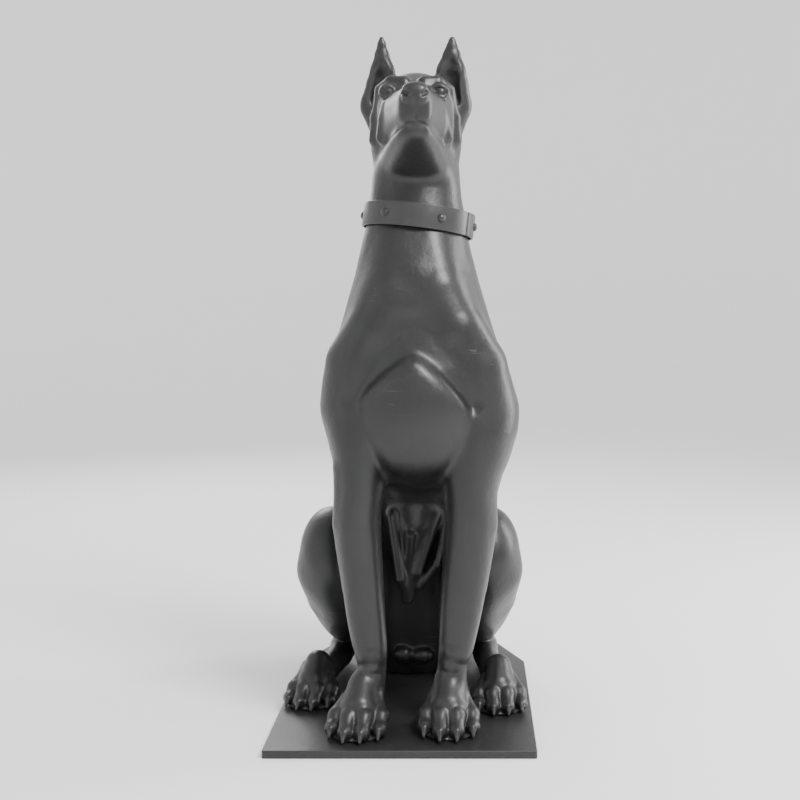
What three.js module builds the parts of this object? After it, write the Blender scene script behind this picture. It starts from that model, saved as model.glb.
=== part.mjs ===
// A seated guard dog cast in iron, on a thin base plate with tapered rear corners, wearing a riveted collar.
// Millimetres. +Z is up, the dog looks along -Y, and the origin is the centre of the plate's underside.
import * as THREE from 'three';
import { MeshoptSimplifier } from 'three/addons/libs/meshopt_simplifier.module.js';

// ---------------------------------------------------------------- driving dimensions
const GAP = 0.3;
const PLATE = { width: 375, depth: 530, thickness: 11, straight: 403, rearWidth: 275, corner: 4,
  chamfer: 1.2 };
const FLOOR = PLATE.thickness + GAP;
const COLLAR = { x: 20, y: -71, z: 735, outer: 81, squash: 0.97, wall: 3, height: 34, edge: 0.8,
  rollDeg: 6.5, pitchDeg: -3.5 };
const LAP = { from: 62, to: 122, extra: 1.6 };
const STUD = { count: 6, phase: 26, radius: 6, height: 6.5 };
const GRID = 4;
const DOG_TRIANGLES = 8560;

// ---------------------------------------------------------------- forms the figure is sculpted from
// A form answers at(x, y, z), negative inside, and has a box. near() keeps only what a small box can feel.
const REACH = 40;
const apart = (f, lo, hi) => [0, 1, 2].some(i => f.lo[i] - REACH > hi[i] || f.hi[i] + REACH < lo[i]);
const single = f => ({ ...f, near: (lo, hi) => (apart(f, lo, hi) ? null : f) });
const blend = (a, b, k) => {
  const h = Math.min(1, Math.max(0, 0.5 + 0.5 * (b - a) / k));
  return b * (1 - h) + a * h - k * h * (1 - h);
};

// An ellipsoid, turned about X, Y and Z in degrees.
function ball(c, r, turn = [0, 0, 0]) {
  const [rx, ry, rz] = Array.isArray(r) ? r : [r, r, r];
  const e = new THREE.Euler(...turn.map(THREE.MathUtils.degToRad), 'ZYX');
  const m = new THREE.Matrix4().makeRotationFromEuler(e).elements;
  const half = [0, 1, 2].map(i => Math.hypot(m[i] * rx, m[4 + i] * ry, m[8 + i] * rz));
  return single({
    lo: c.map((v, i) => v - half[i]),
    hi: c.map((v, i) => v + half[i]),
    at(x, y, z) {
      const px = x - c[0], py = y - c[1], pz = z - c[2];
      const a = (m[0] * px + m[1] * py + m[2] * pz) / rx;
      const b = (m[4] * px + m[5] * py + m[6] * pz) / ry;
      const d = (m[8] * px + m[9] * py + m[10] * pz) / rz;
      const k0 = Math.hypot(a, b, d);
      return k0 * (k0 - 1) / Math.max(1e-9, Math.hypot(a / rx, b / ry, d / rz));
    },
  });
}

// Two spheres and the tangent cone between them. wide = [axis, factor] stretches the section along an axis.
function cone(a, ra, b, rb, wide = [1, 0, 0, 1]) {
  const n = new THREE.Vector3(...wide).normalize();
  const f = wide[3];
  const squeeze = (x, y, z) => {
    const t = (1 / f - 1) * (x * n.x + y * n.y + z * n.z);
    return [x + t * n.x, y + t * n.y, z + t * n.z];
  };
  const ba = squeeze(b[0] - a[0], b[1] - a[1], b[2] - a[2]);
  const l2 = ba[0] ** 2 + ba[1] ** 2 + ba[2] ** 2;
  const rr = ra - rb;
  const a2 = l2 - rr * rr;
  const wider = Math.max(1, f);
  return single({
    lo: a.map((v, i) => Math.min(v - ra * wider, b[i] - rb * wider)),
    hi: a.map((v, i) => Math.max(v + ra * wider, b[i] + rb * wider)),
    at(x, y, z) {
      const p = squeeze(x - a[0], y - a[1], z - a[2]);
      const along = p[0] * ba[0] + p[1] * ba[1] + p[2] * ba[2];
      const past = along - l2;
      const x2 = (p[0] * l2 - along * ba[0]) ** 2 + (p[1] * l2 - along * ba[1]) ** 2 + (p[2] * l2 - along * ba[2]) ** 2;
      const y2 = along * along * l2;
      const z2 = past * past * l2;
      const k = Math.sign(rr) * rr * rr * x2;
      let d = (Math.sqrt(x2 * a2 / l2) + along * rr) / l2 - ra;
      if (Math.sign(along) * a2 * y2 < k) d = Math.sqrt(x2 + y2) / l2 - ra;
      if (Math.sign(past) * a2 * z2 > k) d = Math.sqrt(x2 + z2) / l2 - rb;
      return d * Math.min(1, f);
    },
  });
}

// A smooth curve through stations, and the sections it gives at any station.
function sections(rows) {
  const t = [...rows].sort((p, q) => p[0] - q[0]);
  const n = t.length;
  const slope = t.map((_, i) => t[0].map((_, j) => {
    const s = k => (t[k + 1][j] - t[k][j]) / (t[k + 1][0] - t[k][0]);
    if (i === 0) return s(0);
    if (i === n - 1) return s(n - 2);
    return s(i - 1) * s(i) <= 0 ? 0 : 2 * s(i - 1) * s(i) / (s(i - 1) + s(i));
  }));
  const at = u => {
    let i = 0;
    while (i < n - 2 && u > t[i + 1][0]) i++;
    const h = t[i + 1][0] - t[i][0];
    const w = Math.min(1, Math.max(0, (u - t[i][0]) / h));
    return [1, 2, 3, 4].map(j => (1 + 2 * w) * (1 - w) ** 2 * t[i][j] + w * (1 - w) ** 2 * h * slope[i][j]
      + w * w * (3 - 2 * w) * t[i + 1][j] + w * w * (w - 1) * h * slope[i + 1][j]);
  };
  return { first: t[0][0], last: t[n - 1][0], at, rows: t };
}
function section(s, power, u, side, other) {
  const [c, half, low, high] = s.at(u);
  const mid = (low + high) / 2;
  const deep = (high - low) / 2;
  const a = Math.abs((side - c) / half);
  const b = Math.abs((other - mid) / deep);
  const k = (a ** power + b ** power) ** (1 / power) - 1;
  const d = k * Math.hypot(a, b) / Math.max(1e-9, Math.hypot(a / half, b / deep));
  return Math.max(0.85 * d, u - s.last, s.first - u);
}
// Level sections up Z. Rows: z, centre x, half width, front y, back y.
function column(rows, power = 2) {
  const s = sections(rows);
  return single({
    lo: [Math.min(...rows.map(r => r[1] - r[2])), Math.min(...rows.map(r => r[3])), s.first],
    hi: [Math.max(...rows.map(r => r[1] + r[2])), Math.max(...rows.map(r => r[4])), s.last],
    at: (x, y, z) => section(s, power, z, x, y),
  });
}
// Upright sections along Y. Rows: y, centre x, half width, bottom z, top z.
function barrel(rows, power = 2.6) {
  const s = sections(rows);
  return single({
    lo: [Math.min(...rows.map(r => r[1] - r[2])), s.first, Math.min(...rows.map(r => r[3]))],
    hi: [Math.max(...rows.map(r => r[1] + r[2])), s.last, Math.max(...rows.map(r => r[4]))],
    at: (x, y, z) => section(s, power, y, x, z),
  });
}

const boxOf = (forms, k) => ({
  lo: [0, 1, 2].map(i => Math.min(...forms.map(f => f.lo[i])) - k / 4),
  hi: [0, 1, 2].map(i => Math.max(...forms.map(f => f.hi[i])) + k / 4),
});
// Forms run together over a width k.
function join(k, ...forms) {
  const whole = {
    ...boxOf(forms, k),
    at: (x, y, z) => forms.reduce((d, f) => (d === null ? f.at(x, y, z) : blend(d, f.at(x, y, z), k)),
      null),
    near(lo, hi) {
      if (apart(whole, lo, hi)) return null;
      const kept = forms.map(f => f.near(lo, hi)).filter(Boolean);
      if (kept.length < 2) return kept[0] ?? null;
      return join(k, ...kept);
    },
  };
  return whole;
}
// Forms cut out of a base, their edges eased over a width k.
function carve(k, base, ...cuts) {
  return {
    lo: base.lo,
    hi: base.hi,
    at: (x, y, z) => cuts.reduce((d, f) => -blend(-d, f.at(x, y, z), k), base.at(x, y, z)),
    near(lo, hi) {
      const b = base.near(lo, hi);
      const kept = b ? cuts.map(f => f.near(lo, hi)).filter(Boolean) : [];
      return kept.length ? carve(k, b, ...kept) : b;
    },
  };
}
// A run of cones through points [x, y, z, radius].
function chain(k, points, wide) {
  return join(k, ...points.slice(1).map((b, i) => cone(points[i].slice(0, 3), points[i][3],
    b.slice(0, 3), b[3], wide)));
}

// ---------------------------------------------------------------- torso
const trunk = column([
 [  5,   2,  84,  72, 226], [ 50,   2,  92,  58, 240], [ 95,   2,  92,  52, 245],
   [150,   2,  90,  42, 246], [200,   4,  90,  24, 240],
 [250,   8,  90,  -6, 227], [300,  13,  90, -40, 208], [350,  18,  92, -75, 184],
   [400,  21,  96,-110, 158],
 [450,  22, 100,-140, 131], [500,  20, 104,-165, 104], [550,  18, 106,-176,  80],
   [600,  17, 101,-180,  58],
 [650,  17,  91,-168,  23], [700,16.3,79,-149,   1], [718,16.7,75.3,-143.5, -2],
   [735,17.5,72.5,-140,  -2], [770,  17,  66.5,-132,  -4],
 [810,  17,  63,-124,  -4], [850,  17,  57,-112,  -5], [895,  17,  46,-100,  -6],
   [925,  17,  30,-90,-14]], 2.15);
const chest = ball([22,-80,472], [112,128,130], [8,0,0]);
const sternum = join(10, ball([20,-158,478], [74,54,77], [8,0,0]), ball([18,-170,528], [30,28,27]));
const band_r = chain(4,
  [[34,-112,690,38],[48,-132,632,42],[74,-138,578,42],[104,-130,525,44],[111,-116,465,50]]);
const band_l = chain(4,
  [[0,-112,690,38],[-14,-132,632,41],[-38,-138,578,41],[-66,-130,530,43],[-72,-114,470,45]]);
const ridge = chain(4, [[17,-119,694,25],[17,-137,655,30],[17,-144,612,24]]);
const notch = ball([17,-204,585], [34,26,22]);

// ---------------------------------------------------------------- forelegs, from the shoulder blade down
const arm_r = column([
 [690,  46, 10,-104, -62], [650,  62, 31,-138, -24], [600,  75, 44,-148,   0], [553,  87, 51,-160,   8],
   [506,  98, 56,-172,   2],
 [459, 106, 60,-180, -12], [435, 107, 59,-183, -24], [412, 104, 56,-184, -36], [388, 101, 51,-184, -47],
 [364,  97, 45,-184, -58], [340,  96, 40,-184, -66], [310,  97, 38,-183, -84], [270,  94, 36,-182,-100],
 [235,  90, 34.5,-181,-108], [173, 82.5,30.5,-179,-117], [132, 77.5,26.5,-177,-120],
   [112, 74.5,24.5,-178,-122],
 [ 97,  71, 22, -174,-127], [ 78,  69,22.5,-177,-128], [ 50,  67, 26,-186,-128],
   [ 20,  66, 22,-180,-132]], 2.1);
const arm_l = column([
 [690, -14, 10,-104, -62], [650, -31, 30,-138, -24], [600, -43, 42,-148,   0], [553, -53, 50,-160,   8],
   [506, -62, 54,-172,   2],
 [459, -65, 53,-180, -12], [435, -64, 51,-183, -24], [412, -62, 47,-184, -36], [388, -62, 41,-184, -47],
 [364, -62, 37,-184, -58], [340, -63, 35,-184, -66], [310, -66,33.5,-183, -84], [270, -64,32.5,-182,-100],
 [228, -60,30.5,-181,-108], [161,-53.5,27.5,-179,-117], [125, -49, 25,-178,-121],
   [110, -47, 23,-178,-123],
 [ 95, -46, 21, -173,-127], [ 76, -48, 22,-177,-128], [ 50, -53, 25,-186,-130],
   [ 20, -54, 21,-182,-134]], 2.1);
const carpus = join(3, ball([72,-168,120],[15,12,12]), ball([70,-166,98],[14,11,11]),
  ball([-47,-168,118],[14,12,12]), ball([-46,-166,96],[13,11,11]));
// A paw at o, turned by yaw degrees: a wedge of foot, four toes from the wrist to the ground, and their claws.
function paw(o, yaw, s) {
  const a = THREE.MathUtils.degToRad(yaw);
  const P = (u, v, w) => [
    o[0] + s * (u * Math.cos(a) + v * Math.sin(a)), o[1] + s * (u * Math.sin(a) - v * Math.cos(a)),
      FLOOR + s * w];
  const body = join(10, ball(P(0, 10, 20), [37 * s, 44 * s, 26 * s], [0, 0, yaw]), cone(P(0, -4, 58),
    22 * s, P(0, 20, 34), 28 * s));
  const toes = [[-31, 30, 23, 13.5], [-11, 45, 26, 14.5], [11, 45, 26, 14.5],
    [31, 30, 23, 13.5]].flatMap(([u, v, w, r]) => [
    chain(2, [[...P(u * 0.5, v - 42, w + 24), r * 0.42 * s], [...P(u * 0.9, v - 8, w + 8), r * 0.62 * s],
      [...P(u, v, w), r * s], [...P(u * 1.04, v + 17, 12), r * 0.9 * s]]),
    cone(P(u * 1.05, v + 26, 14), 4.6 * s, P(u * 1.08, v + 33, 5), 2.6 * s),
  ]);
  return join(3.5, body, ...toes);
}
const legs = join(6, carpus, arm_r, arm_l);
const pawf_r = paw([66,-163], 0, 1.0);
const pawf_l = paw([-59,-170], -6, 1.0);
let torso = carve(20, join(12, join(20, trunk, chest), band_r, band_l, ridge), notch);
torso = join(7, torso, sternum);
const elbow = join(2, ball([97,-78,340],[20,20,34]), ball([-64,-78,340],[19,20,34]));
const front = join(5, join(16, join(16, torso, arm_r, arm_l), elbow), carpus);

// ---------------------------------------------------------------- hind legs
// A folded hind leg: thigh, lower leg, and the foot lying flat from the hock to the paw.
function hind(s, cx, foot, yaw) {
  const x = v => cx + s * v;
  const thigh = join(26, ball([x(104), 92, 172], [62, 136, 110], [-14, 0, 0]), ball([x(124), 6, 222],
    [48, 70, 76], [-10, 0, 0]));
  const calf = chain(3, [[x(136), -4, 200, 38], [x(133), 44, 150, 33], [x(121), 88, 100, 22], [x(116),
    116, 66, 18]]);
  const meta = chain(3, [[x(117), 124, 43, 23], [x(120), 84, 38, 20],
    [foot[0] - s * 7, foot[1] + 60, 36, 19], [foot[0], foot[1] + 4, 36, 19]]);
  const hock = ball([x(115), 140, 46], [15, 17, 24], [12, 0, 0]);
  const groove = chain(4, [[x(176), -30, 150, 7], [x(178), 30, 118, 8], [x(172), 90, 84, 8], [x(160),
    140, 62, 6]]);
  return join(6, carve(10, join(14, thigh, calf), groove), meta, hock, paw(foot, yaw, 0.92));
}
const pelvis = ball([2,150,112], [112,92,112]);
const hind_r = hind(1, 2, [139,-66], 2);
const hind_l = hind(-1, 2, [-138,-46], -10);
const tail = chain(4, [[2,226,128,19],[2,244,116,15],[3,250,98,11]]);

// ---------------------------------------------------------------- abdomen
const belly = join(7, cone([13,0,292], 46, [-1,24,168], 15),
  chain(3, [[-24,-34,292,9],[-12,-14,190,8],[-3,6,156,7]]),
   chain(3, [[4,-38,262,8],[-1,-8,200,7.5],[-2,4,152,8]]),
     chain(3, [[42,-30,290,9],[14,-12,200,8],[2,8,158,7]]));
const fold = chain(3, [[60,-22,292,8],[52,-18,240,6],[44,-16,212,5.5],[18,-4,176,7]]);
const lobes = join(5, ball([-12,60,48],[17,18,15]), ball([18,60,46],[18,18,14]));

// ---------------------------------------------------------------- head
const HX = 17;
// A cropped ear from its root up to the tip, hollowed in front.
function ear(rows, s) {
  const shell = chain(2, rows, [0, 1, 0, 0.62]);
  const share = [0.4, 0.56, 0.66, 0.62, 0.5];
  const hollow = rows.slice(0, 5).map((r, i) => [
    r[0] - s * 4 * (i < 3), r[1] - 20 + i, r[2] + (i < 4 ? 6 : 0), r[3] * share[i]]);
  return carve(2, shell, chain(2, hollow, [0, 1, 0, 0.75]));
}
const skull = ball([HX,-66,898], [59,66,50]);
const cheek = ball([HX,-66,850], [66,64,56]);
const upper = barrel([[-80,17,50,812,936], [-118,17.5,53,820,930], [-134,18,48,826,921],
  [-152,18.5,43.5,832,914], [-175,19.5,37,838,909], [-200,21,30,843.5,906.5],
   [-219,22.5,24.5,848,905], [-228,23.3,22,850.5,904], [-234,23.6,19.5,856,903], [-238,23.8,16,864,901],
     [-241,24,11,873,898], [-242.5,24,5,880,892]], 2.8);
const lower = barrel([[-50,17,52,760,846], [-100,17,51,776,848], [-140,18,42.5,798,850],
  [-170,19.5,35,811,852], [-196,21,27,822,854], [-214,22.5,20.5,831,855], [-222,23.5,14,838,853],
  [-226,23.5,6,843,849]], 2.4);
const nosepad = barrel([[-247,23.5,7,884,896],[-245.5,23.5,13,879,901],[-241,23.5,17,875,905.5],[-235,23.5,18,874,907],[-227,23.5,15.5,878,905]], 2.6);
const nostrils = join(1, ball([13.5,-246,888],[4.2,6,4]), ball([33.5,-246,888],[4.2,6,4]),
  cone([23.5,-248,886],1.8,[23.5,-236,856],1.7));
const sockets = join(1, ball([HX-37,-149,909],[14,10,10]), ball([HX+38,-149,908],[14,10,10]));
const eyes = join(1, ball([HX-36,-134,910],10), ball([HX+37,-134,909],10));
// Eyelids: a shell round the eye with an almond opening.
function lid(x, s) {
  return carve(1.5, ball([x, -134, 910], 12.6), ball([x + s * 2, -148, 909.5], [10.5, 12, 5.2],
    [0, s * 14, 0]));
}
const lids = join(1, lid(HX-36,-1), lid(HX+37,1));
const folds = join(3, chain(2,
  [[HX-52,-107,914,6],[HX-58,-100,888,5],[HX-60,-96,862,6],[HX-57,-94,838,8]]),
  chain(2, [[HX+53,-107,914,6],[HX+59,-100,888,5],[HX+61,-96,862,6],[HX+58,-94,838,8]]),
   chain(2, [[HX-36,-145,896,4],[HX-43,-140,872,4.5],[HX-48,-133,850,6]]),
     chain(2, [[HX+37,-145,896,4],[HX+44,-140,872,4.5],[HX+50,-133,850,6]]));
const ears = join(2, ear([[-33,-50,874,20],[-37,-56,904,28],[-33,-62,932,22.5],[-31.5,-67,950,18],[-32,-70,974,10],[-32,-72,988,6],[-32,-73,995.5,3.6]], -1),
   ear([[67,-50,874,20],[70,-56,904,28],[68,-62,932,25],[68,-67,950,21.5],[69,-70,972,13],[69.5,-72,985,7.8],[70,-73,994,5.2]], 1));
const mouth = chain(1,
  [[HX-47,-128,829,2.6],[HX-41,-152,834,2.4],[HX-33,-176,840,2.2],[21-27,-202,845,2.1],[23.5-16,-222,850,2],[23.5,-229,852,2],[23.5+16,-222,850,2],[21+28,-202,845,2.1],[HX+37,-176,840,2.2],[HX+44,-152,834,2.4],[HX+49,-128,829,2.6]]);
const face = join(5, join(3, join(10, join(14, skull, cheek), upper), lower), folds);
let head = join(1, carve(2, join(2.5, carve(5, join(2, face, nosepad), sockets), lids), mouth, nostrils),
  eyes);
head = join(7, head, ears);
let dog = join(8, join(12, front, join(16, pelvis, tail), hind_r, hind_l, belly, head), pawf_r, pawf_l);
dog = join(4, dog, fold, lobes);
// ---------------------------------------------------------------- the figure as one closed mesh
const MARGIN = 3 * GRID;
const COUNT = dog.hi.map((v, i) => Math.ceil((v + 2 * MARGIN - dog.lo[i]) / GRID) + 1);
const [NX, NY, NZ] = COUNT;

// The field at every grid point, found a block at a time with the forms that reach the block.
function sampleField(start) {
  const field = new Float32Array(NX * NY * NZ).fill(1000);
  const B = 8;
  for (let k = 0; k < NZ; k += B) for (let j = 0; j < NY; j += B) for (let i = 0; i < NX; i += B) {
    const end = [Math.min(i + B, NX), Math.min(j + B, NY), Math.min(k + B, NZ)];
    const lo = [i, j, k].map((v, a) => start[a] + GRID * v);
    const hi = end.map((v, a) => start[a] + GRID * (v - 1));
    const near = dog.near(lo, hi);
    if (!near) continue;
    for (let c = k; c < end[2]; c++) for (let b = j; b < end[1]; b++) for (let a = i; a < end[0]; a++) {
      const z = start[2] + GRID * c;
      const d = near.at(start[0] + GRID * a, start[1] + GRID * b, z);
      field[a + NX * (b + NY * c)] = Math.max(d, FLOOR - z);
    }
  }
  return field;
}

// The surface between inside and outside grid points. Every cube is cut into six tetrahedra round its long
// diagonal, which can't pinch: each triangle edge lies in one tetrahedron face and so has exactly two triangles.
const TETRAHEDRA = [[0, 1, 3, 7], [0, 3, 2, 7], [0, 2, 6, 7], [0, 6, 4, 7], [0, 4, 5, 7], [0, 5, 1, 7]];
function polygonise(field, start) {
  const step = [0, 1, 2, 3, 4, 5, 6, 7].map(c => (c & 1) + NX * ((c >> 1 & 1) + NY * (c >> 2)));
  const points = [];
  const index = [];
  const seen = new Map();
  const place = (g, c) => [g % NX + (c & 1), Math.floor(g / NX) % NY + (c >> 1 & 1),
    Math.floor(g / NX / NY) + (c >> 2)];
  const vertex = (g, p, q) => {
    const [a, b] = p < q ? [p, q] : [q, p];
    const key = (g + step[a]) * 8 + (a ^ b);
    if (!seen.has(key)) {
      const fa = field[g + step[a]];
      const t = THREE.MathUtils.clamp(fa / (fa - field[g + step[b]]), 0.1, 0.9);
      const A = place(g, a);
      const B = place(g, b);
      seen.set(key, points.length);
      points.push(A.map((v, i) => start[i] + GRID * (v + t * (B[i] - v))));
    }
    return seen.get(key);
  };
  const triangle = (g, a, b, c, inner, outer) => {
    const [u, v, w] = [a, b, c].map(i => new THREE.Vector3(...points[i]));
    const out = new THREE.Vector3(...place(0, outer)).sub(new THREE.Vector3(...place(0, inner)));
    const faces = v.sub(u).cross(w.sub(u)).dot(out) > 0;
    index.push(a, faces ? b : c, faces ? c : b);
  };
  for (let k = 0; k < NZ - 1; k++) for (let j = 0; j < NY - 1; j++) for (let i = 0; i < NX - 1; i++) {
    const g = i + NX * (j + NY * k);
    const first = field[g] < 0;
    if (step.every(s => field[g + s] < 0 === first)) continue;
    for (const tet of TETRAHEDRA) {
      const inner = tet.filter(c => field[g + step[c]] < 0);
      const outer = tet.filter(c => field[g + step[c]] >= 0);
      if (!inner.length || !outer.length) continue;
      const [p, q, r] = inner.length === 1 ? [inner[0], ...outer] : [outer[0], ...inner];
      if (inner.length === 2) {
        const [a, b, c, d] = [[0, 0], [0, 1], [1, 1], [1, 0]].map(([m, n]) => vertex(g, inner[m],
          outer[n]));
        triangle(g, a, b, c, inner[0], outer[0]);
        triangle(g, a, c, d, inner[0], outer[0]);
      } else {
        const last = inner.length === 1 ? outer[2] : inner[2];
        triangle(g, vertex(g, p, q), vertex(g, p, r), vertex(g, p, last), inner[0], outer[0]);
      }
    }
  }
  return { points, index };
}

// Each vertex is walked down the field's slope onto the surface.
function settle(p) {
  const e = 0.5;
  const near = dog.near(p.map(v => v - GRID), p.map(v => v + GRID));
  const f = (x, y, z) => Math.max(near.at(x, y, z), FLOOR - z);
  for (let n = 0; n < 3; n++) {
    const d = f(...p);
    const g = [0, 1, 2].map(i => (f(...p.map((v, j) => (i === j ? v + e : v))) - d) / e);
    const g2 = Math.max(0.2, g[0] ** 2 + g[1] ** 2 + g[2] ** 2);
    const step = THREE.MathUtils.clamp(d / g2, -GRID / 2, GRID / 2);
    p = p.map((v, i) => v - step * g[i]);
  }
  return [p[0], p[1], Math.max(p[2], FLOOR)];
}

// Whether any edge has more or fewer than two faces, as where two folds of skin are pinched together.
function pinched(index) {
  const faces = new Map();
  for (let t = 0; t < index.length; t += 3) for (let i = 0; i < 3; i++) {
    const a = index[t + i];
    const b = index[t + (i + 1) % 3];
    const edge = Math.min(a, b) * 1e7 + Math.max(a, b);
    faces.set(edge, (faces.get(edge) ?? 0) + 1);
  }
  return [...faces.values()].some(n => n !== 2);
}

async function sculpt() {
  await MeshoptSimplifier.ready;
  const start = dog.lo.map((v, i) => (i === 2 ? FLOOR - 2.4 * GRID : v - MARGIN));
  const net = polygonise(sampleField(start), start);
  const points = net.points.map(settle);
  const flat = new Float32Array(points.flat());
  for (let count = DOG_TRIANGLES; count > 0.8 * DOG_TRIANGLES; count -= 40) {
    const [kept] = MeshoptSimplifier.simplify(new Uint32Array(net.index), flat, 3, 3 * count, 0.01);
    if (pinched(kept)) continue;
    const used = new Map();
    const index = [...kept].map(v => used.get(v) ?? (used.set(v, used.size), used.size - 1));
    return closed([...used.keys()].map(v => points[v]), index);
  }
  throw new Error('the figure stays pinched');
}

function closed(points, index) {
  const g = new THREE.BufferGeometry();
  g.setAttribute('position', new THREE.Float32BufferAttribute(points.flat(), 3));
  g.setIndex(index);
  g.computeVertexNormals();
  return g;
}

// ---------------------------------------------------------------- base plate
// The outline is a rectangle with its rear corners cut back; every corner is rounded.
function plateOutline(inset) {
  const w = PLATE.width / 2 - inset;
  const d = PLATE.depth / 2 - inset;
  const shoulder = PLATE.straight - PLATE.depth / 2 - inset * 0.2;
  const rear = PLATE.rearWidth / 2 - inset * 0.7;
  const half = [[w, -d], [w, shoulder], [rear, d]];
  const points = [...half, ...half.map(([x, y]) => [-x, y]).reverse()].map(p => new THREE.Vector2(...p));
  return points.flatMap((p, i) => {
    const before = points.at(i - 1).clone().sub(p).setLength(PLATE.corner).add(p);
    const after = points[(i + 1) % points.length].clone().sub(p).setLength(PLATE.corner).add(p);
    return new THREE.QuadraticBezierCurve(before, p, after).getPoints(4);
  });
}
function basePlate() {
  const levels = [[0, 0], [PLATE.thickness - PLATE.chamfer, 0], [PLATE.thickness, PLATE.chamfer]];
  const rings = levels.map(([z, inset]) => plateOutline(inset).map(p => [p.x, p.y, z]));
  const n = rings[0].length;
  const index = [];
  for (let r = 0; r < 2; r++) for (let i = 0; i < n; i++) {
    const j = (i + 1) % n;
    index.push(r * n + i, r * n + j, (r + 1) * n + j, r * n + i, (r + 1) * n + j, (r + 1) * n + i);
  }
  for (const [a, b, c] of THREE.ShapeUtils.triangulateShape(plateOutline(0), [])) {
    index.push(c, b, a, 2 * n + a, 2 * n + b, 2 * n + c);
  }
  return closed(rings.flat(), index);
}

// ---------------------------------------------------------------- collar and its rivets
const collarFrame = new THREE.Matrix4().makeTranslation(COLLAR.x, COLLAR.y, COLLAR.z)
  .multiply(new THREE.Matrix4().makeRotationY(THREE.MathUtils.degToRad(COLLAR.rollDeg)))
  .multiply(new THREE.Matrix4().makeRotationX(THREE.MathUtils.degToRad(COLLAR.pitchDeg)));
// Angles run from the front (-Y) towards the dog's left (+X).
const lapped = deg => deg >= LAP.from && deg <= LAP.to;
const outerAt = deg => COLLAR.outer + (lapped(deg) ? LAP.extra : 0);
const onCollar = (deg, r, z) => {
  const a = THREE.MathUtils.degToRad(deg);
  return new THREE.Vector3(r * Math.sin(a), -r * COLLAR.squash * Math.cos(a), z);
};
function collarBand() {
  const h = COLLAR.height / 2;
  const e = COLLAR.edge;
  const around = [LAP.from - 0.4, LAP.from, LAP.to, LAP.to + 0.4];
  for (let deg = 0; deg < 360; deg += 7.5) around.push(deg);
  around.sort((p, q) => p - q);
  const points = [];
  const index = [];
  for (const deg of around) {
    const out = outerAt(deg);
    const inn = COLLAR.outer - COLLAR.wall;
    const profile = [[inn, -h], [out - e, -h], [out, e - h], [out, h - e], [out - e, h], [inn, h]];
    for (const [r, z] of profile) points.push(onCollar(deg, r, z).toArray());
  }
  const m = 6;
  for (let i = 0; i < around.length; i++) for (let j = 0; j < m; j++) {
    const a = i * m + j;
    const b = i * m + (j + 1) % m;
    const c = ((i + 1) % around.length) * m + (j + 1) % m;
    const d = ((i + 1) % around.length) * m + j;
    index.push(a, c, b, a, d, c);
  }
  return closed(points, index).applyMatrix4(collarFrame);
}
function rivet(i) {
  const deg = STUD.phase + i * 360 / STUD.count;
  const { radius: r, height: h } = STUD;
  const dome = [[0, 0], [r, 0], [r, h * 0.35], [r * 0.86, h * 0.72], [r * 0.5, h * 0.95], [0, h]];
  const head = new THREE.LatheGeometry(dome.map(p => new THREE.Vector2(...p)), 12);
  const foot = onCollar(deg, outerAt(deg % 360) + GAP + 0.1, 0);
  const out = new THREE.Vector3(foot.x, foot.y / COLLAR.squash ** 2, 0).normalize();
  const turn = new THREE.Quaternion().setFromUnitVectors(new THREE.Vector3(0, 1, 0), out);
  return head.applyQuaternion(turn).translate(foot.x, foot.y, foot.z).applyMatrix4(collarFrame);
}

// ---------------------------------------------------------------- assembly
const group = new THREE.Group();
function add(name, geometry, color, roughness) {
  const material = new THREE.MeshStandardMaterial({ color, roughness, metalness: 0.1 });
  const mesh = new THREE.Mesh(geometry, material);
  mesh.name = name;
  group.add(mesh);
}
add('dog', await sculpt(), 0x151515, 0.45);
add('base_plate', basePlate(), 0x171717, 0.5);
add('collar_band', collarBand(), 0x1c1c1c, 0.4);
for (let i = 0; i < STUD.count; i++) add('collar_stud_' + (i + 1), rivet(i), 0x222222, 0.35);

export default group;
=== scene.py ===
# %% [markdown]
# # A seated cast-iron watchdog
# This lesson builds a garden statue about a metre tall: a tall, short-haired guard dog that sits bolt
# upright on a thin iron plate and wears a riveted band collar. On the real object the dog is one hollow
# casting, the plate is a second, the collar is a strip of iron bent round the neck, and six rivets sit
# on the strip. Everything is painted satin black, so the whole look comes from form and from gloss.
#
# The measured solids of the statue are loaded first. They set the size and the place of every piece
# that is made here.

import math
import time

import bmesh
import bpy
import numpy as np
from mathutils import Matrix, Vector


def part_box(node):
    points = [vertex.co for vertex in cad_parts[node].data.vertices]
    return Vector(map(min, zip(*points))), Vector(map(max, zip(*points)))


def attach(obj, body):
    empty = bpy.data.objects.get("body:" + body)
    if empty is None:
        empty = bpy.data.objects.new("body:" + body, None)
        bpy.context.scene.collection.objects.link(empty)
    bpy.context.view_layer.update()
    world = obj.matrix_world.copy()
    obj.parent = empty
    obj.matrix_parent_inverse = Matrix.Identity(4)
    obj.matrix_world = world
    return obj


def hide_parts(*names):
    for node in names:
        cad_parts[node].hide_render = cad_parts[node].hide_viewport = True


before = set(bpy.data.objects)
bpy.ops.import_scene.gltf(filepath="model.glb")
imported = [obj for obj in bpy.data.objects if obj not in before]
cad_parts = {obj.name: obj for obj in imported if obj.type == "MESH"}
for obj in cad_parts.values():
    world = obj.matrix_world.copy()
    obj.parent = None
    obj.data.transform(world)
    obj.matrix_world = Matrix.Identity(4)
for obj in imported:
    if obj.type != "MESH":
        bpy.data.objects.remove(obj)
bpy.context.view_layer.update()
print("solids:", sorted(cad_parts))

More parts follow.
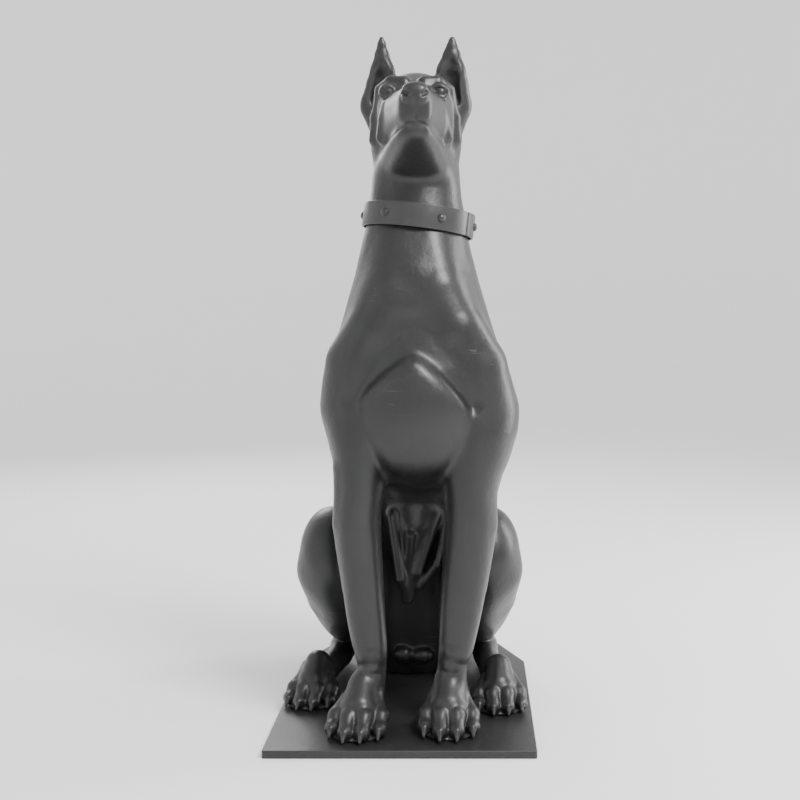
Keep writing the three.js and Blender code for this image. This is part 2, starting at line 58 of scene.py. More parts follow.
# %% [markdown]
# ## Shapes as distances
# A sculptor builds a dog from lumps of clay that are pressed together and then scraped. The same can be
# done with numbers. Each lump is a function that says how far a point is from its surface, negative
# inside. Two lumps are pressed together by taking the smaller of two distances, and rounding that
# minimum over a few millimetres makes the soft valley that a thumb would leave. Scraping is the same
# with the sign turned round. The numbers are millimetres, as on the real casting.

# %% Soft joins
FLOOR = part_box("base_plate")[1].z * 1000 + 0.3
REACH = 40.0
NUM = np.float32


def soft_min(a, b, k):
    h = np.clip(0.5 + 0.5 * (b - a) / k, 0, 1)
    return b * (1 - h) + a * h - k * h * (1 - h)


def turned(rx, ry, rz):
    (cx, sx), (cy, sy), (cz, sz) = [(math.cos(math.radians(a)), math.sin(math.radians(a))) for a in (rx, ry, rz)]
    about_x = np.array([[1, 0, 0], [0, cx, -sx], [0, sx, cx]])
    about_y = np.array([[cy, 0, sy], [0, 1, 0], [-sy, 0, cy]])
    about_z = np.array([[cz, -sz, 0], [sz, cz, 0], [0, 0, 1]])
    return (about_z @ about_y @ about_x).astype(NUM)


def smooth_rows(x, y, at):
    """Values between rows, without the overshoot that a plain spline has."""
    h = np.diff(x)
    slope = np.diff(y) / h
    m = np.concatenate([slope[:1], np.zeros(len(x) - 2), slope[-1:]])
    for i in range(1, len(x) - 1):
        if slope[i - 1] * slope[i] > 0:
            m[i] = 2 * slope[i - 1] * slope[i] / (slope[i - 1] + slope[i])
    i = np.clip(np.searchsorted(x, at) - 1, 0, len(x) - 2)
    t = (at - x[i]) / h[i]
    return ((1 + 2 * t) * (1 - t) ** 2 * y[i] + t * (1 - t) ** 2 * h[i] * m[i]
            + t * t * (3 - 2 * t) * y[i + 1] + t * t * (t - 1) * h[i] * m[i + 1])


print("the dog stands on the plate at", FLOOR, "mm")

# %% [markdown]
# Every lump knows the box that it fills, so a lump that is far from the point in question can be left
# out. That is what makes a hundred lumps quick to work with.

# %% Lumps of clay
class Lump:
    def near(self, low, high):
        apart = np.any(self.low - REACH > high) or np.any(self.high + REACH < low)
        return None if apart else self


class Ball(Lump):
    """An egg shape: its centre, its three half sizes, and how it is turned."""

    def __init__(self, centre, half, turn=(0, 0, 0)):
        self.centre = np.array(centre, NUM)
        self.half = np.array(half if np.ndim(half) else (half,) * 3, NUM)
        self.turn = turned(*turn)
        reach = np.sqrt(((self.turn * self.half) ** 2).sum(1))
        self.low, self.high = self.centre - reach, self.centre + reach

    def at(self, p):
        a = ((p - self.centre) @ self.turn) / self.half
        out, slope = np.sqrt((a * a).sum(1)), np.sqrt(((a / self.half) ** 2).sum(1))
        return out * (out - 1) / np.maximum(slope, 1e-9)


class Cone(Lump):
    """A limb with round ends. `wide` stretches its section along a direction."""

    def __init__(self, a, ra, b, rb, wide=None):
        self.a, self.b, self.ra, self.rb, self.wide = np.array(a, NUM), np.array(b, NUM), ra, rb, None
        most = 1
        if wide is not None:
            v = np.array(wide[:3], float)
            self.wide, most = ((v / np.linalg.norm(v)).astype(NUM), wide[3]), max(1, wide[3])
        self.low = np.minimum(self.a - ra * most, self.b - rb * most)
        self.high = np.maximum(self.a + ra * most, self.b + rb * most)

    def at(self, p):
        p, axis = p - self.a, self.b - self.a
        if self.wide:
            v, f = self.wide
            p, axis = p + ((1 / f - 1) * (p @ v))[:, None] * v, axis + (1 / f - 1) * (axis @ v) * v
        l2, rr = float(axis @ axis), self.ra - self.rb
        along, a2 = p @ axis, l2 - rr * rr
        q = p * NUM(l2) - along[:, None] * axis
        x2, y2 = (q * q).sum(1), along * along * l2
        past = along - l2
        z2, k = past * past * l2, np.sign(rr) * rr * rr * x2
        d = (np.sqrt(np.maximum(x2 * a2 / l2, 0)) + along * rr) / l2 - self.ra
        d = np.where(np.sign(along) * a2 * y2 < k, np.sqrt(x2 + y2) / l2 - self.ra, d)
        d = np.where(np.sign(past) * a2 * z2 > k, np.sqrt(x2 + z2) / l2 - self.rb, d)
        return (d * min(1, self.wide[1]) if self.wide else d).astype(NUM)


class Sections(Lump):
    """A body made of rounded sections along one axis: rows of place, centre, half width, low, high."""

    def __init__(self, rows, along, square):
        rows = np.array(sorted(rows), float)
        self.along, self.across, self.square = along, 3 - along, square
        self.places = np.linspace(rows[0, 0], rows[-1, 0], 400)
        self.values = [smooth_rows(rows[:, 0], rows[:, i], self.places) for i in (1, 2, 3, 4)]
        low = [(rows[:, 1] - rows[:, 2]).min(), 0, 0]
        high = [(rows[:, 1] + rows[:, 2]).max(), 0, 0]
        low[along], high[along] = rows[0, 0], rows[-1, 0]
        low[self.across], high[self.across] = rows[:, 3].min(), rows[:, 4].max()
        self.low, self.high = np.array(low, NUM), np.array(high, NUM)

    def at(self, p):
        s, n = p[:, self.along], self.square
        cx, rx, v0, v1 = [np.interp(s, self.places, v).astype(NUM) for v in self.values]
        rv = (v1 - v0) / 2
        a, b = np.abs((p[:, 0] - cx) / rx), np.abs((p[:, self.across] - (v0 + v1) / 2) / rv)
        out, slope = (a**n + b**n) ** (1 / n), np.sqrt((a / rx) ** 2 + (b / rv) ** 2)
        d = (out - 1) * np.sqrt(a * a + b * b) / np.maximum(slope, 1e-9) * NUM(0.85)
        return np.maximum(d, np.maximum(s - self.places[-1], self.places[0] - s).astype(NUM))


print("lumps: egg, limb and sections")

# %% [markdown]
# Joins and scrapes hold other lumps, so the whole dog becomes one tree that can be asked for its
# distance at any point.

# %% Joining and scraping
class Joined(Lump):
    def __init__(self, soft, parts, cut=False):
        self.soft, self.parts, self.cut = soft, parts, cut
        kept = parts[:1] if cut else parts
        self.low = np.min([g.low for g in kept], 0) - soft / 4
        self.high = np.max([g.high for g in kept], 0) + soft / 4

    def near(self, low, high):
        if Lump.near(self, low, high) is None:
            return None
        found = [g.near(low, high) for g in self.parts]
        if self.cut and found[0] is None:
            return None
        found = [g for g in found if g is not None]
        if len(found) < 2:
            return found[0] if found else None
        part = Joined.__new__(Joined)
        part.__dict__.update(self.__dict__, parts=found)
        return part

    def at(self, p):
        d = self.parts[0].at(p)
        for g in self.parts[1:]:
            d = -soft_min(-d, g.at(p), self.soft) if self.cut else soft_min(d, g.at(p), self.soft)
        return d


def ball(centre, half, turn=(0, 0, 0)):
    return Ball(centre, half, turn)


def cone(a, ra, b, rb, wide=None):
    return Cone(a, ra, b, rb, wide)


def column(rows, square):
    return Sections(rows, 2, square)


def barrel(rows, square):
    return Sections(rows, 1, square)


def join(soft, *parts):
    return Joined(soft, list(parts))


def carve(soft, *parts):
    return Joined(soft, list(parts), cut=True)


def chain(soft, points, wide=None):
    links = zip(points[:-1], points[1:])
    return join(soft, *[cone(a[:3], a[3], b[:3], b[3], wide) for a, b in links])


print("joins: soft join, soft scrape, chain of limbs")
# %% [markdown]
# ## The body
# A sitting dog of this kind is a tall cone: narrow neck, deep chest, and a back that falls in one line to
# the rump. It is built from level sections, as a boat is from its frames. Each row gives a height, the
# middle, the half width, the front and the back.

# %% Trunk and chest
trunk = column([
    [5, 2, 84, 72, 226], [50, 2, 92, 58, 240], [95, 2, 92, 52, 245], [150, 2, 90, 42, 246],
    [200, 4, 90, 24, 240], [250, 8, 90, -6, 227], [300, 13, 90, -40, 208], [350, 18, 92, -75, 184],
    [400, 21, 96, -110, 158], [450, 22, 100, -140, 131], [500, 20, 104, -165, 104],
    [550, 18, 106, -176, 80], [600, 17, 101, -180, 58], [650, 17, 91, -168, 23],
    [700, 16.3, 79, -149, 1], [718, 16.7, 75.3, -143.5, -2], [735, 17.5, 72.5, -140, -2],
    [770, 17, 66.5, -132, -4], [810, 17, 63, -124, -4], [850, 17, 57, -112, -5],
    [895, 17, 46, -100, -6], [925, 17, 30, -90, -14]], 2.15)
chest = ball([22, -80, 472], [112, 128, 130], [8, 0, 0])
neck_cord_r = chain(4, [[34, -112, 690, 38], [48, -132, 632, 42], [74, -138, 578, 42],
                        [104, -130, 525, 44], [111, -116, 465, 50]])
neck_cord_l = chain(4, [[0, -112, 690, 38], [-14, -132, 632, 41], [-38, -138, 578, 41],
                        [-66, -130, 530, 43], [-72, -114, 470, 45]])
throat_ridge = chain(4, [[17, -119, 694, 25], [17, -137, 655, 30], [17, -144, 612, 24]])
hollow = ball([17, -206, 590], [32, 27, 22])
spine = chain(8, [[17, 8, 640, 12], [17, 58, 560, 14], [20, 118, 445, 15], [19, 168, 340, 16],
                  [12, 208, 250, 16], [4, 226, 180, 14]])
print("trunk from", trunk.low, "to", trunk.high)

# %% [markdown]
# The breastbone is a raised shield on the front of the chest. It comes to a point at the top, where a
# hollow lies above it, and each side of the point is cut off straight. Two very large balls do that: the
# surface of a ball three metres across is as good as flat over a hand's width.

# %% Breastbone shield
shield = ball([20, -157, 468], [84, 55, 102], [4, 0, 0])
cut_r = ball([-16 - 906, -170, 527 + 1195], 1500)
cut_l = ball([55 + 1050, -170, 519 + 1070], 1500)
shield = carve(22, shield, cut_r, cut_l)
gutter = chain(8, [[-72, -183, 480, 6], [-30, -197, 530, 8], [12, -203, 566, 12], [56, -199, 536, 8],
                   [100, -183, 474, 6]])
print("shield stands out to", float(shield.low[1]))

# %% [markdown]
# ## Forelegs
# The forelegs run straight down from the shoulder blades like two posts. They narrow slowly to the
# wrist, where two small knobs of bone show, and open again into the paw.

# %% Forelegs
arm_r = column([
    [690, 46, 10, -104, -62], [650, 62, 31, -138, -24], [600, 75, 44, -148, 0], [553, 87, 51, -160, 8],
    [506, 98, 56, -172, 2], [459, 106, 60, -180, -12], [435, 107, 59, -183, -24],
    [412, 104, 56, -184, -36], [388, 101, 51, -184, -47], [364, 97, 45, -184, -58],
    [340, 96, 40, -184, -66], [310, 97, 38, -183, -84], [270, 94, 36, -182, -100],
    [235, 90, 34.5, -181, -108], [173, 82.5, 30.5, -179, -117], [132, 77.5, 26.5, -177, -120],
    [112, 74.5, 24.5, -178, -122], [97, 71, 22, -174, -127], [78, 69, 22.5, -177, -128],
    [50, 67, 26, -186, -128], [20, 66, 22, -180, -132]], 2.1)
arm_l = column([
    [690, -14, 10, -104, -62], [650, -31, 30, -138, -24], [600, -43, 42, -148, 0],
    [553, -53, 50, -160, 8], [506, -62, 54, -172, 2], [459, -65, 53, -180, -12],
    [435, -64, 51, -183, -24], [412, -62, 47, -184, -36], [388, -62, 41, -184, -47],
    [364, -62, 37, -184, -58], [340, -63, 35, -184, -66], [310, -66, 33.5, -183, -84],
    [270, -64, 32.5, -182, -100], [228, -60, 30.5, -181, -108], [161, -53.5, 27.5, -179, -117],
    [125, -49, 25, -178, -121], [110, -47, 23, -178, -123], [95, -46, 21, -173, -127],
    [76, -48, 22, -177, -128], [50, -53, 25, -186, -130], [20, -54, 21, -182, -134]], 2.1)
wrist = join(3, ball([72, -167, 121], [14, 12, 11]), ball([70, -166, 98], [13, 11, 10]),
             ball([-47, -167, 119], [13, 12, 11]), ball([-46, -166, 96], [12, 11, 10]))
elbow = join(6, ball([95, -80, 345], [19, 20, 40]), ball([-63, -80, 345], [18, 20, 40]))
forearm = join(8, chain(6, [[112, -150, 380, 16], [116, -146, 300, 15], [104, -142, 210, 12]]),
               chain(6, [[-82, -150, 380, 15], [-84, -146, 300, 14], [-74, -142, 210, 11]]))
print("forelegs:", arm_r.low, arm_l.low)

# %% [markdown]
# A paw is a rounded block with four toes, of which the middle pair reaches further. Each toe has a
# tendon that runs down to it, a knuckle, a tip and a short claw. One function models a paw at any place,
# turn and size, so all four are the same design.

# %% Paws
def paw(place, turn, size):
    c, s = math.cos(math.radians(turn)), math.sin(math.radians(turn))

    def at(side, ahead, up, r=None):
        spot = [place[0] + size * (side * c + ahead * s), place[1] + size * (side * s - ahead * c),
                FLOOR + size * up]
        return spot if r is None else spot + [r * size]

    body = join(10, ball(at(0, 8, 20), [36 * size, 42 * size, 25 * size], [0, 0, turn]),
                cone(at(0, -4, 58), 21 * size, at(0, 18, 34), 26 * size))
    sole = ball(at(0, 22, 2), [40 * size, 46 * size, 7 * size], [0, 0, turn])
    toes = []
    for side, ahead, up, r in [(-32, 28, 22, 12.5), (-11, 43, 25, 13.5), (11, 43, 25, 13.5), (32, 28, 22, 12.5)]:
        toes.append(chain(2, [at(side * 0.38, ahead - 52, up + 37, 5), at(side * 0.72, ahead - 24, up + 20, 7),
                              at(side * 0.95, ahead - 6, up + 4, r * 0.9)]))
        toes.append(chain(1.5, [at(side, ahead - 2, up + 1, r), at(side * 1.03, ahead + 9, up - 6, r * 0.8),
                                at(side * 1.05, ahead + 18, 12.5, r * 0.88)]))
        toes.append(cone(at(side * 1.06, ahead + 27, 15), 4.8 * size, at(side * 1.08, ahead + 35, 5), 2.4 * size))
    return join(3, join(3, body, sole), *toes)


paw_r = paw([66, -163], 0, 1.0)
paw_l = paw([-59, -170], -6, 1.0)
print("paws:", paw_r.low, "to", paw_r.high)

# %% [markdown]
# ## Haunches
# The hind legs are folded: a big egg for the thigh, the knee and shin in front of it, and the long foot
# lying flat along the ground. A groove parts the thigh from the shin, and the heel bone stands up behind.

# %% Hind legs
def hind(s, middle, foot, turn):
    def x(v):
        return middle + s * v

    thigh = join(26, ball([x(104), 92, 172], [62, 136, 110], [-14, 0, 0]),
                 ball([x(124), 6, 222], [48, 70, 76], [-10, 0, 0]))
    shin = chain(3, [[x(136), -4, 200, 38], [x(133), 44, 150, 33], [x(121), 88, 100, 22], [x(116), 116, 66, 18]])
    long_foot = chain(3, [[x(117), 124, 43, 23], [x(120), 84, 38, 20], [foot[0] - s * 7, foot[1] + 60, 36, 19],
                          [foot[0], foot[1] + 4, 36, 19]])
    heel = ball([x(115), 140, 46], [15, 17, 24], [12, 0, 0])
    groove = chain(4, [[x(176), -30, 150, 7], [x(178), 30, 118, 8], [x(172), 90, 84, 8], [x(160), 140, 62, 6]])
    return join(6, carve(10, join(14, thigh, shin), groove), long_foot, heel, paw(foot, turn, 0.92))


rump = ball([2, 150, 112], [112, 92, 112])
hind_r = hind(1, 2, [139, -66], 2)
hind_l = hind(-1, 2, [-138, -46], -10)
tail = chain(4, [[2, 226, 128, 19], [2, 244, 116, 15], [3, 250, 98, 11]])
print("haunches:", hind_r.high, hind_l.low)

# %% [markdown]
# Between the forelegs the belly shows as a tongue of skin with three soft folds, and a thin flank fold
# runs down beside it.

# %% Belly
belly = join(7, cone([13, 0, 292], 46, [-1, 24, 168], 15),
             chain(3, [[-24, -34, 292, 9], [-12, -14, 190, 8], [-3, 6, 156, 7]]),
             chain(3, [[4, -38, 262, 8], [-1, -8, 200, 7.5], [-2, 4, 152, 8]]),
             chain(3, [[42, -30, 290, 9], [14, -12, 200, 8], [2, 8, 158, 7]]))
flank_fold = chain(3, [[60, -22, 292, 8], [52, -18, 240, 6], [44, -16, 212, 5.5], [18, -4, 176, 7]])
lobes = join(5, ball([-12, 60, 48], [17, 18, 15]), ball([18, 60, 46], [18, 18, 14]))
print("belly hangs to", float(belly.low[2]))

# %% [markdown]
# ## Head
# The skull and the cheeks are two eggs. The muzzle and the lower jaw are upright sections along its
# length, so that the bridge stays straight and the lips stay flat. The middle of the head is a little to
# one side of the plate's, because the neck leans.

# %% Skull, muzzle and jaw
HEAD = 17
skull = ball([HEAD, -66, 898], [59, 66, 50])
cheeks = ball([HEAD, -66, 850], [66, 64, 56])
muzzle = barrel([
    [-80, 17, 50, 812, 936], [-118, 17.5, 53, 820, 930], [-134, 18, 48, 826, 921], [-152, 18.5, 43.5, 832, 914],
    [-175, 19.5, 37, 838, 909], [-200, 21, 30, 842.5, 906.5], [-219, 22.5, 25.5, 846.5, 905],
    [-229, 23.3, 23, 849, 904], [-236, 23.6, 19.5, 854, 903], [-240, 24, 14, 862, 900],
    [-242.5, 24, 5, 878, 892]], 2.8)
jaw = barrel([
    [-50, 17, 52, 760, 846], [-100, 17, 51, 776, 850], [-140, 18, 43, 798, 853], [-170, 19.5, 36, 811, 855],
    [-196, 21, 29, 822, 857], [-214, 22.5, 22.5, 830, 858], [-224, 23.5, 16, 836, 857], [-229, 23.5, 7, 842, 854]], 2.4)
nose = barrel([
    [-249, 23.5, 6, 886, 896], [-247, 23.5, 13, 880, 901], [-242, 23.5, 17.5, 875, 905.5],
    [-235, 23.5, 18.5, 873, 907.5], [-225, 23.5, 16, 877, 906]], 2.5)
nostrils = join(1, chain(1, [[13, -247, 889, 3.4], [9, -243, 892, 3], [6.5, -238, 893, 2]]),
                chain(1, [[34, -247, 889, 3.4], [38, -243, 892, 3], [40.5, -238, 893, 2]]),
                cone([23.5, -250, 886], 1.6, [23.5, -238, 858], 1.5))
brow = join(4, chain(4, [[HEAD - 14, -132, 925, 8], [HEAD - 32, -126, 926, 8], [HEAD - 49, -110, 918, 7]]),
            chain(4, [[HEAD + 15, -132, 925, 8], [HEAD + 33, -126, 926, 8], [HEAD + 50, -110, 918, 7]]))
print("head reaches forward to", float(nose.low[1]))

# %% [markdown]
# The eyes are balls in shallow sockets. Each wears a lid: a slightly larger ball with an almond cut out
# of its front, so that a rim of even width is left round the eye.

# %% Eyes, lips and folds
sockets = join(1, ball([HEAD - 37, -149, 909], [15, 10, 11]), ball([HEAD + 38, -149, 908], [15, 10, 11]))
eyes = join(1, ball([HEAD - 36, -134, 910], 10.6), ball([HEAD + 37, -134, 909], 10.6))


def lid(x, s):
    return carve(1.2, ball([x, -134, 910], 13.4), ball([x + s * 2, -149, 909.5], [11.5, 12, 6.4], [0, s * 14, 0]))


lids = join(1, lid(HEAD - 36, -1), lid(HEAD + 37, 1))
folds = join(5, chain(6, [[HEAD - 50, -104, 906, 6], [HEAD - 56, -98, 880, 7], [HEAD - 58, -94, 850, 8]]),
             chain(6, [[HEAD + 51, -104, 906, 6], [HEAD + 57, -98, 880, 7], [HEAD + 59, -94, 850, 8]]),
             chain(4, [[HEAD - 33, -144, 896, 5], [HEAD - 41, -140, 872, 6], [HEAD - 45, -132, 848, 8]]),
             chain(4, [[HEAD + 34, -144, 896, 5], [HEAD + 42, -140, 872, 6], [HEAD + 47, -132, 848, 8]]))
lips = chain(1, [
    [HEAD - 48, -122, 828, 2.2], [HEAD - 42, -150, 833, 2.2], [HEAD - 34, -176, 839, 2.1], [-6, -202, 844.5, 2],
    [3, -221, 849, 2], [13, -233, 852.5, 1.9], [23.5, -238, 853.5, 1.9], [34, -233, 852.5, 1.9], [43, -221, 849, 2],
    [49, -202, 844.5, 2], [HEAD + 38, -176, 839, 2.1], [HEAD + 45, -150, 833, 2.2], [HEAD + 50, -122, 828, 2.2]])
print("eyes, lids, folds and lips")

# %% [markdown]
# The ears are cropped: tall pointed blades, flattened from front to back, with a hollow down the front.

# %% Ears
def ear(rows, s):
    blade = chain(2, rows, [0, 1, 0, 0.66])
    hollow_at = [(0.4, 0), (0.56, 1), (0.66, 2), (0.62, 3), (0.5, 4)]
    scoop = [[rows[i][0] - s * 4 * (i < 3), rows[i][1] - 20 + i, rows[i][2] + (6 if i < 4 else 0), rows[i][3] * share]
             for share, i in hollow_at]
    return carve(2, blade, chain(2, scoop, [0, 1, 0, 0.75]))


ears = join(2, ear([[-33, -50, 874, 20], [-37, -56, 904, 28], [-33, -62, 932, 22.5], [-31.5, -67, 950, 18],
                    [-32, -70, 974, 10], [-32, -72, 988, 6], [-32, -73, 995.5, 3.6]], -1),
            ear([[67, -50, 874, 20], [70, -56, 904, 28], [68, -62, 932, 25], [68, -67, 950, 21.5],
                 [69, -70, 972, 13], [69.5, -72, 985, 7.8], [70, -73, 994, 5.2]], 1))
print("ears reach", float(ears.high[2]), "mm")

# %% [markdown]
# ## Putting the lumps together
# The order matters. Broad lumps are joined first and softly, and small sharp ones last, so a lip or a
# lid isn't swallowed by the cheek under it.

# %% The whole dog
torso = carve(18, join(12, join(20, trunk, chest), neck_cord_r, neck_cord_l, throat_ridge), hollow)
torso = join(12, torso, spine)
front = join(10, join(14, join(16, torso, arm_r, arm_l), elbow), forearm)
front = join(5, join(6, carve(18, front, gutter), shield), wrist)
face = join(12, join(5, join(10, join(14, skull, cheeks), muzzle), jaw), brow, folds)
head = carve(2, join(2.5, carve(5, join(2, face, nose), sockets), lids), lips, nostrils)
head = join(7, join(1, head, eyes), ears)
dog = join(8, join(12, front, join(16, rump, tail), hind_r, hind_l, belly, head), paw_r, paw_l)
dog = join(4, dog, flank_fold, lobes)
print("dog from", dog.low.round(1), "to", dog.high.round(1))
# %% [markdown]
# ## From distances to a skin
# The tree is asked for its distance on a lattice of points, which is finer at the head and at the paws
# because the small forms are there. Whole blocks that are far inside or outside are skipped.

# %% Lattice
def spaced(low, high, steps):
    """Places from low to high; steps holds (up to, spacing)."""
    places = [low]
    for limit, gap in steps:
        while places[-1] < min(limit, high):
            places.append(places[-1] + gap)
    return np.array(places)


COARSE = 1.0
lattice = [
    spaced(dog.low[0] - 8, dog.high[0] + 8, [(1e3, 2.5 * COARSE)]),
    spaced(dog.low[1] - 8, dog.high[1] + 8, [(1e3, 2.5 * COARSE)]),
    spaced(FLOOR - 5 * COARSE, dog.high[2] + 8, [(70, 1.9 * COARSE), (790, 2.6 * COARSE), (1e3, 1.7 * COARSE)])]
print("lattice", [len(a) for a in lattice])


def field_on(tree, axes, block=16):
    field = np.full([len(a) for a in axes], 1000, NUM)
    spans = [[slice(i, i + block) for i in range(0, len(a), block)] for a in axes]
    for sx in spans[0]:
        for sy in spans[1]:
            for sz in spans[2]:
                part = [axes[0][sx], axes[1][sy], axes[2][sz]]
                low, high = np.array([a[0] for a in part]), np.array([a[-1] for a in part])
                near = tree.near(low, high)
                if near is None:
                    continue
                half = np.linalg.norm(high - low) / 2
                if low[2] > FLOOR + 6 and near.at(((low + high) / 2).astype(NUM)[None])[0] < -2.2 * half:
                    field[sx, sy, sz] = -1000
                    continue
                grid = np.meshgrid(*part, indexing="ij")
                p = np.stack([g.ravel() for g in grid], 1).astype(NUM)
                field[sx, sy, sz] = np.maximum(near.at(p), FLOOR - p[:, 2]).reshape(grid[0].shape)
    return field


began = time.time()
field = field_on(dog, lattice)
print("distances at", field.size, "points in", round(time.time() - began), "s")

# %% [markdown]
# A skin is stretched between the inside points and the outside points: one corner in each lattice cell
# that the surface passes, and one four-sided face across each lattice edge that it cuts. The corners are
# then walked down the slope of the distance until they lie on the surface itself.

# %% Skin
def skin(field, axes):
    inside = field < 0
    nx, ny, nz = field.shape
    corners = [(i, j, k) for i in (0, 1) for j in (0, 1) for k in (0, 1)]
    count = sum(inside[i:nx - 1 + i, j:ny - 1 + j, k:nz - 1 + k].astype(np.int8) for i, j, k in corners)
    cells = np.argwhere((count > 0) & (count < 8))
    number = np.full(count.shape, -1, np.int32)
    number[tuple(cells.T)] = np.arange(len(cells))
    total, cuts = np.zeros((len(cells), 3)), np.zeros(len(cells))
    for a in corners:
        for d in range(3):
            if a[d]:
                continue
            b = [v + (i == d) for i, v in enumerate(a)]
            fa, fb = field[tuple((cells + a).T)], field[tuple((cells + b).T)]
            cut = (fa < 0) != (fb < 0)
            at = np.tile(np.array(a, float), (cut.sum(), 1))
            at[:, d] += fa[cut] / (fa[cut] - fb[cut])
            total[cut] += at
            cuts[cut] += 1
    where = cells + total / cuts[:, None]
    points = np.stack([np.interp(where[:, i], np.arange(len(axes[i])), axes[i]) for i in range(3)], 1)
    faces = []
    for d in range(3):
        first, second = [slice(None)] * 3, [slice(None)] * 3
        first[d], second[d] = slice(0, -1), slice(1, None)
        edges = np.argwhere(inside[tuple(first)] != inside[tuple(second)])
        u, v = [(1, 2), (2, 0), (0, 1)][d]
        ring = []
        for du, dv in [(1, 1), (0, 1), (0, 0), (1, 0)]:
            e = edges.copy()
            e[:, u] -= du
            e[:, v] -= dv
            ring.append(number[tuple(e.T)])
        ring = np.stack(ring, 1)
        back = ~inside[tuple(first)][tuple(edges.T)]
        ring[back] = ring[back][:, ::-1]
        faces.append(ring)
    return points, np.concatenate(faces)


def by_region(points, tree, work, cell=60):
    """Calls work on the points of each region with only the lumps that reach it."""
    key = np.floor((points - points.min(0)) / cell).astype(int)
    order = np.lexsort(key.T)
    ends = np.where(np.any(np.diff(key[order], axis=0) != 0, axis=1))[0] + 1
    for group in np.split(order, ends):
        near = tree.near(points[group].min(0) - 8, points[group].max(0) + 8)
        if near is not None:
            work(group, lambda p, near=near: np.maximum(near.at(p.astype(NUM)), NUM(FLOOR) - p[:, 2]))


def slope_at(distance, p, here):
    return np.stack([distance(p + np.eye(3)[i] * 0.4) - here for i in range(3)], 1) / 0.4


def settle(points, tree, rounds=2):
    def work(group, distance):
        p = points[group]
        for _ in range(rounds):
            here = distance(p)
            slope = slope_at(distance, p, here)
            step = np.clip(here / np.maximum((slope**2).sum(1), 0.2), -2, 2)
            p = p - step[:, None] * slope
        points[group] = p

    by_region(points, tree, work)
    points[:, 2] = np.maximum(points[:, 2], FLOOR)


points, faces = skin(field, lattice)
settle(points, dog)
del field
print(len(points), "corners,", len(faces), "faces after", round(time.time() - began), "s")

# %% [markdown]
# The skin goes into Blender as a mesh. Collapse, in the Decimate modifier, takes away the points that
# add least, so the flat flanks give up theirs and the toes and lids keep them.

# %% Dog mesh
def new_piece(name, points, faces, smooth=True):
    mesh = bpy.data.meshes.new(name)
    mesh.from_pydata(points.tolist() if hasattr(points, "tolist") else points, [],
                     faces.tolist() if hasattr(faces, "tolist") else faces)
    mesh.update()
    if smooth:
        mesh.shade_smooth()
    piece = bpy.data.objects.new(name, mesh)
    bpy.context.scene.collection.objects.link(piece)
    return piece


def baked(piece):
    """The piece with its modifiers worked into its mesh."""
    done = bpy.data.meshes.new_from_object(piece.evaluated_get(bpy.context.evaluated_depsgraph_get()))
    piece.modifiers.clear()
    old, piece.data = piece.data, done
    done.name = piece.name
    bpy.data.meshes.remove(old)
    return piece


MOST_TRIANGLES = 192000
statue = new_piece("dog_casting", points / 1000, faces)
thinning = statue.modifiers.new("thinning", "DECIMATE")
thinning.ratio = min(1.0, MOST_TRIANGLES / (2 * len(faces)))
baked(statue)
statue.data.shade_smooth()
print("dog:", len(statue.data.polygons), "triangles after", round(time.time() - began), "s")

# %% [markdown]
# Paint wears off where the iron stands proud and dust stays where it lies deep. The same distances tell
# which is which. A short way outside the surface the distance is less than the way that was gone when
# another form is close by, and a short way inside, it is less deep than it should be under a sharp edge.
# Both go onto the mesh as attributes that the paint can read.

# %% Where it wears and where dust lies
def write_attribute(mesh, name, values):
    attribute = mesh.attributes.get(name) or mesh.attributes.new(name, "FLOAT", "POINT")
    attribute.data.foreach_set("value", np.clip(values, 0, 1).astype(NUM))


def wear_of(mesh, tree):
    flat = np.zeros(len(mesh.vertices) * 3, NUM)
    mesh.vertices.foreach_get("co", flat)
    at = flat.reshape(-1, 3).astype(float) * 1000
    proud, deep = np.zeros(len(at)), np.zeros(len(at))

    def work(group, distance):
        p = at[group]
        slope = slope_at(distance, p, distance(p))
        slope /= np.maximum(np.linalg.norm(slope, axis=1), 1e-6)[:, None]
        proud[group] = 1 + distance(p - 5 * slope) / 5
        deep[group] = 1 - distance(p + 9 * slope) / 9

    by_region(at, tree, work)
    write_attribute(mesh, "proud", proud)
    write_attribute(mesh, "deep", deep)
    return float(proud.mean()), float(deep.mean())


print("wear, dust:", wear_of(statue.data, dog), "after", round(time.time() - began), "s")
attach(statue, "root")
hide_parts("dog")

# %% [markdown]
# ## Collar
# The collar is a strip of flat iron, bent to a ring that stays a finger's width clear of the neck. It
# leans a little to one side. Where its ends overlap the ring is two strips thick. A strip that follows a
# path is a job for Geometry Nodes: the path is a circle whose radius grows through the overlap, and the
# section of the strip is swept along it.

# %% Collar sizes, measured on the solids
low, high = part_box("collar_band")
COLLAR = Vector((0.020, -0.071, 0.735))
LEAN = (math.radians(6.5), math.radians(-3.5))
RADIUS, SQUASH, WALL, HEIGHT = 0.081, 0.97, 0.003, 0.034
LAP_FROM, LAP_TO, LAP_EXTRA = math.radians(62), math.radians(122), 0.0016
print("collar solid", [round(v, 4) for v in (high - low)])


class Nodes:
    """Builds a node tree: one call a node, with its settings, then its sockets."""

    def __init__(self, tree):
        self.tree, self.links = tree, tree.links

    def __call__(self, kind, settings=None, out=0, **sockets):
        node = self.tree.nodes.new(kind)
        for key, value in (settings or {}).items():
            setattr(node, key, value)
        for key, value in sockets.items():
            socket = node.inputs[int(key[1:])] if key[1:].isdigit() else node.inputs[key.replace("_", " ")]
            self.put(value, socket)
        return node.outputs[out]

    def put(self, value, socket):
        if isinstance(value, bpy.types.NodeSocket):
            self.links.new(value, socket)
        else:
            socket.default_value = value

    def math(self, kind, a, b=0.0, c=0.0):
        return self("ShaderNodeMath", {"operation": kind}, i0=a, i1=b, i2=c)


